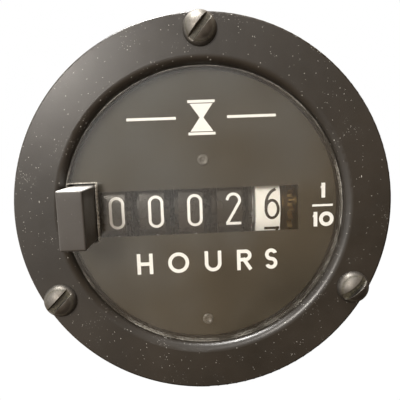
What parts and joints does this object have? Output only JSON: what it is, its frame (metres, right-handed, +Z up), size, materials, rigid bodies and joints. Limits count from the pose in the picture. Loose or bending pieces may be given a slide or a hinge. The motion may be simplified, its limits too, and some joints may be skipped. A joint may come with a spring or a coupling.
{
  "type": "panel hour meter",
  "caption": "Round panel-mount electromechanical hour meter with number wheels behind a clear lens, a push reset, and a geared synchronous motor.",
  "frame": {"origin": "centre of the mounting screw circle, on the flange's back face where it rests on the panel", "axes": "+X right as seen from the front, +Y to the back along the barrel, +Z up; the dial faces -Y"},
  "size_m": [0.0683, 0.0773, 0.0684],
  "materials": {
    "black_moulding": "satin",
    "dark_screw_steel": "satin",
    "clear_lens": "gloss",
    "dial_black": "satin",
    "dial_white": "matte",
    "plated_steel": "satin",
    "bright_steel": "polished",
    "button_grey": "satin",
    "wheel_black": "satin",
    "wheel_white": "satin",
    "natural_nylon": "satin",
    "brass": "satin",
    "stator_steel": "satin",
    "copper_winding": "satin",
    "ferrite": "matte",
    "lead_red": "satin",
    "blank_label": "satin"
  },
  "bodies": {
    "case": {"bezel_case": "black_moulding", "mounting_screws": "dark_screw_steel", "lens": "clear_lens", "dial_plate": "dial_black", "dial_legend": "dial_white", "dial_rivets": "dial_black", "dial_bar": "plated_steel", "dial_post": "plated_steel", "left_side_plate": "plated_steel", "right_side_plate": "plated_steel", "wheel_shaft": "bright_steel", "shaft_clip": "bright_steel", "button_return_spring": "bright_steel", "cluster_studs": "bright_steel", "gearbox_front_plate": "plated_steel", "gearbox_back_plate": "plated_steel", "plate_posts": "plated_steel", "front_stator_cup": "stator_steel", "rear_stator_cup": "stator_steel", "coil_bobbin": "natural_nylon", "coil_winding": "copper_winding", "rotor_bearings": "brass", "back_cover": "black_moulding", "cover_screws": "dark_screw_steel", "terminal_blades": "brass", "coil_leads": "lead_red", "rating_label": "blank_label"},
    "button": {"reset_button": "button_grey"},
    "bail": {"reset_bail": "plated_steel", "reset_arm": "plated_steel"},
    "pinion_carriage": {"pinion_shaft": "bright_steel"},
    "thousands": {"thousands_wheel": "wheel_black"},
    "hundreds": {"hundreds_wheel": "wheel_black"},
    "tens": {"tens_wheel": "wheel_black"},
    "hours": {"hours_wheel": "wheel_black"},
    "tenths": {"tenths_wheel": "wheel_white"},
    "thousands_transfer": {"thousands_pinion": "natural_nylon"},
    "hundreds_transfer": {"hundreds_pinion": "natural_nylon"},
    "tens_transfer": {"tens_pinion": "natural_nylon"},
    "hours_transfer": {"hours_pinion": "natural_nylon"},
    "drive_gear": {"worm_gear": "brass", "clutch_spring": "brass"},
    "output": {"output_arbor": "bright_steel", "worm": "brass", "output_gear": "natural_nylon"},
    "cluster_1": {"gear_cluster_1": "natural_nylon"},
    "cluster_2": {"gear_cluster_2": "natural_nylon"},
    "cluster_3": {"gear_cluster_3": "natural_nylon"},
    "rotor": {"rotor_magnet": "ferrite", "rotor_hub": "natural_nylon", "rotor_shaft": "bright_steel"}
  },
  "joints": [
    {"name": "reset_press", "type": "slide", "parent": "case", "child": "button", "axis": [0, 1, 0], "range_m": [0, 0.005], "stiffness_N_per_m": 400, "springref_m": -0.003, "deforming": ["button_return_spring"]},
    {"name": "bail_swing", "type": "hinge", "parent": "case", "child": "bail", "pos_m": [0, 0.0288, 0.0032], "axis": [1, 0, 0], "range_deg": [0, 15]},
    {"name": "carriage_lift", "type": "slide", "parent": "case", "child": "pinion_carriage", "axis": [0, 0.8192, -0.5736], "range_m": [0, 0.0018]},
    {"name": "thousands_turn", "type": "hinge", "parent": "case", "child": "thousands", "pos_m": [0, 0.0146, -0.0006], "axis": [-1, 0, 0], "continuous": true},
    {"name": "hundreds_turn", "type": "hinge", "parent": "case", "child": "hundreds", "pos_m": [0, 0.0146, -0.0006], "axis": [-1, 0, 0], "continuous": true},
    {"name": "tens_turn", "type": "hinge", "parent": "case", "child": "tens", "pos_m": [0, 0.0146, -0.0006], "axis": [-1, 0, 0], "continuous": true},
    {"name": "hours_turn", "type": "hinge", "parent": "case", "child": "hours", "pos_m": [0, 0.0146, -0.0006], "axis": [-1, 0, 0], "continuous": true},
    {"name": "tenths_turn", "type": "hinge", "parent": "case", "child": "tenths", "pos_m": [0, 0.0146, -0.0006], "axis": [-1, 0, 0], "continuous": true},
    {"name": "thousands_pinion_turn", "type": "hinge", "parent": "pinion_carriage", "child": "thousands_transfer", "pos_m": [0, 0.02607, -0.00863], "axis": [-1, 0, 0], "continuous": true},
    {"name": "hundreds_pinion_turn", "type": "hinge", "parent": "pinion_carriage", "child": "hundreds_transfer", "pos_m": [0, 0.02607, -0.00863], "axis": [-1, 0, 0], "continuous": true},
    {"name": "tens_pinion_turn", "type": "hinge", "parent": "pinion_carriage", "child": "tens_transfer", "pos_m": [0, 0.02607, -0.00863], "axis": [-1, 0, 0], "continuous": true},
    {"name": "hours_pinion_turn", "type": "hinge", "parent": "pinion_carriage", "child": "hours_transfer", "pos_m": [0, 0.02607, -0.00863], "axis": [-1, 0, 0], "continuous": true},
    {"name": "output_turn", "type": "hinge", "parent": "case", "child": "output", "pos_m": [0.0174, 0.02, 0.0106], "axis": [0, 1, 0], "continuous": true},
    {"name": "drive_gear_turn", "type": "hinge", "parent": "case", "child": "drive_gear", "pos_m": [0, 0.0146, -0.0006], "axis": [-1, 0, 0], "continuous": true},
    {"name": "cluster_3_turn", "type": "hinge", "parent": "case", "child": "cluster_3", "pos_m": [0.0133, 0.038, 0.0081], "axis": [0, 1, 0], "continuous": true},
    {"name": "cluster_2_turn", "type": "hinge", "parent": "case", "child": "cluster_2", "pos_m": [0.00561, 0.038, 0.00342], "axis": [0, 1, 0], "continuous": true},
    {"name": "cluster_1_turn", "type": "hinge", "parent": "case", "child": "cluster_1", "pos_m": [-0.00942, 0.038, 0.00859], "axis": [0, 1, 0], "continuous": true},
    {"name": "rotor_turn", "type": "hinge", "parent": "case", "child": "rotor", "pos_m": [0, 0.046, 0], "axis": [0, 1, 0], "continuous": true}
  ],
  "couplings": [
    {"joint": "bail_swing", "follows": "reset_press", "rad_per_m": 52.36},
    {"joint": "carriage_lift", "follows": "reset_press", "ratio": 0.36},
    {"joint": "hours_turn", "follows": "tenths_turn", "ratio": 0.1},
    {"joint": "hours_pinion_turn", "follows": "tenths_turn", "ratio": -0.25},
    {"joint": "tens_turn", "follows": "tenths_turn", "ratio": 0.01},
    {"joint": "tens_pinion_turn", "follows": "tenths_turn", "ratio": -0.025},
    {"joint": "hundreds_turn", "follows": "tenths_turn", "ratio": 0.001},
    {"joint": "hundreds_pinion_turn", "follows": "tenths_turn", "ratio": -0.0025},
    {"joint": "thousands_turn", "follows": "tenths_turn", "ratio": 0.0001},
    {"joint": "thousands_pinion_turn", "follows": "tenths_turn", "ratio": -0.00025},
    {"joint": "drive_gear_turn", "follows": "output_turn", "ratio": 0.033333},
    {"joint": "cluster_3_turn", "follows": "output_turn", "ratio": -1.6667},
    {"joint": "cluster_2_turn", "follows": "output_turn", "ratio": 8.3333},
    {"joint": "cluster_1_turn", "follows": "output_turn", "ratio": -80},
    {"joint": "rotor_turn", "follows": "output_turn", "ratio": 600}
  ]
}
